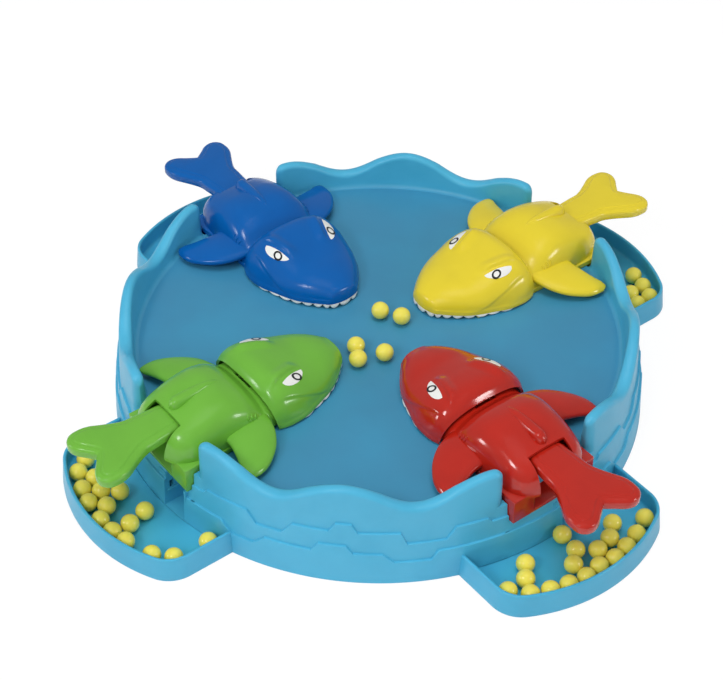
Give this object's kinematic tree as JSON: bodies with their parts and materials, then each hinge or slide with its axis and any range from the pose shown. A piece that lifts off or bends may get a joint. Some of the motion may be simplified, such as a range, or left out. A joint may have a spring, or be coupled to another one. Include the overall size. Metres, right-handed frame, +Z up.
{
  "type": "snapping shark game",
  "caption": "Round blue ball game: sharks in different colours sit round a wavy basin and snap at loose yellow balls when their tails are pressed.",
  "frame": {"origin": "centre of the round basin on the table", "axes": "+Z up; +X through the red shark, +Y through the yellow, -X through the blue, -Y through the green"},
  "size_m": [0.46, 0.46, 0.0788],
  "materials": {
    "basin_blue": "satin moulded plastic",
    "tray_blue": "smooth moulded plastic",
    "red_plastic": "high gloss",
    "yellow_plastic": "gloss",
    "blue_plastic": "high gloss",
    "green_plastic": "gloss",
    "tooth_white": "smooth",
    "ball_yellow": "smooth with a faint mottle",
    "steel": "plain wire and pin"
  },
  "bodies": {
    "base": {"basin": "basin_blue", "red_tray": "tray_blue", "red_chute": "red_plastic", "red_body": "red_plastic", "red_tail_pin": "steel", "red_tail_spring": "steel", "yellow_tray": "tray_blue", "yellow_chute": "yellow_plastic", "yellow_body": "yellow_plastic", "yellow_tail_pin": "steel", "yellow_tail_spring": "steel", "blue_tray": "tray_blue", "blue_chute": "blue_plastic", "blue_body": "blue_plastic", "blue_tail_pin": "steel", "blue_tail_spring": "steel", "green_tray": "tray_blue", "green_chute": "green_plastic", "green_body": "green_plastic", "green_tail_pin": "steel", "green_tail_spring": "steel"},
    "red_bite": {"red_head": "red_plastic", "red_teeth": "tooth_white"},
    "red_press": {"red_tail_lever": "red_plastic"},
    "yellow_bite": {"yellow_head": "yellow_plastic", "yellow_teeth": "tooth_white"},
    "yellow_press": {"yellow_tail_lever": "yellow_plastic"},
    "blue_bite": {"blue_head": "blue_plastic", "blue_teeth": "tooth_white"},
    "blue_press": {"blue_tail_lever": "blue_plastic"},
    "green_bite": {"green_head": "green_plastic", "green_teeth": "tooth_white"},
    "green_press": {"green_tail_lever": "green_plastic"},
    "loose_balls": {"green_tray_ball_1": "ball_yellow", "green_tray_ball_2": "ball_yellow", "green_tray_ball_3": "ball_yellow", "green_tray_ball_4": "ball_yellow", "green_tray_ball_5": "ball_yellow", "green_tray_ball_6": "ball_yellow", "green_tray_ball_7": "ball_yellow", "green_tray_ball_8": "ball_yellow", "red_tray_ball_1": "ball_yellow", "red_tray_ball_2": "ball_yellow", "red_tray_ball_3": "ball_yellow", "red_tray_ball_4": "ball_yellow", "red_tray_ball_5": "ball_yellow", "red_tray_ball_6": "ball_yellow", "red_tray_ball_7": "ball_yellow", "red_tray_ball_8": "ball_yellow", "red_tray_ball_9": "ball_yellow", "yellow_tray_ball_1": "ball_yellow", "yellow_tray_ball_2": "ball_yellow", "yellow_tray_ball_3": "ball_yellow", "yellow_tray_ball_4": "ball_yellow", "yellow_tray_ball_5": "ball_yellow", "centre_ball_1": "ball_yellow", "centre_ball_2": "ball_yellow", "centre_ball_3": "ball_yellow", "centre_ball_4": "ball_yellow", "centre_ball_5": "ball_yellow"}
  },
  "joints": [
    {"name": "red_tail_hinge", "type": "hinge", "parent": "base", "child": "red_press", "pos_m": [0.13, 0, 0.061], "axis": [0, 1, 0], "range_deg": [0, 9.5], "stiffness_Nm_per_rad": 0.1, "springref_deg": -17.19},
    {"name": "red_head_hinge", "type": "hinge", "parent": "base", "child": "red_bite", "pos_m": [0.1088, 0, 0.0614], "axis": [0, 1, 0], "range_deg": [0, 22]},
    {"name": "yellow_tail_hinge", "type": "hinge", "parent": "base", "child": "yellow_press", "pos_m": [0, 0.13, 0.061], "axis": [-1, 0, 0], "range_deg": [0, 9.5], "stiffness_Nm_per_rad": 0.1, "springref_deg": -17.19},
    {"name": "yellow_head_hinge", "type": "hinge", "parent": "base", "child": "yellow_bite", "pos_m": [0, 0.1088, 0.0614], "axis": [-1, 0, 0], "range_deg": [0, 22]},
    {"name": "blue_tail_hinge", "type": "hinge", "parent": "base", "child": "blue_press", "pos_m": [-0.13, 0, 0.061], "axis": [0, -1, 0], "range_deg": [0, 9.5], "stiffness_Nm_per_rad": 0.1, "springref_deg": -17.19},
    {"name": "blue_head_hinge", "type": "hinge", "parent": "base", "child": "blue_bite", "pos_m": [-0.1088, 0, 0.0614], "axis": [0, -1, 0], "range_deg": [0, 22]},
    {"name": "green_tail_hinge", "type": "hinge", "parent": "base", "child": "green_press", "pos_m": [0, -0.13, 0.061], "axis": [1, 0, 0], "range_deg": [0, 9.5], "stiffness_Nm_per_rad": 0.1, "springref_deg": -17.19},
    {"name": "green_head_hinge", "type": "hinge", "parent": "base", "child": "green_bite", "pos_m": [0, -0.1088, 0.0614], "axis": [1, 0, 0], "range_deg": [0, 22]},
    {"name": "balls_lift", "type": "slide", "parent": "base", "child": "loose_balls", "axis": [0, 0, 1], "range_m": [0, 0.02]}
  ],
  "couplings": [
    {"joint": "red_head_hinge", "follows": "red_tail_hinge", "ratio": 2.315},
    {"joint": "yellow_head_hinge", "follows": "yellow_tail_hinge", "ratio": 2.315},
    {"joint": "blue_head_hinge", "follows": "blue_tail_hinge", "ratio": 2.315},
    {"joint": "green_head_hinge", "follows": "green_tail_hinge", "ratio": 2.315}
  ]
}
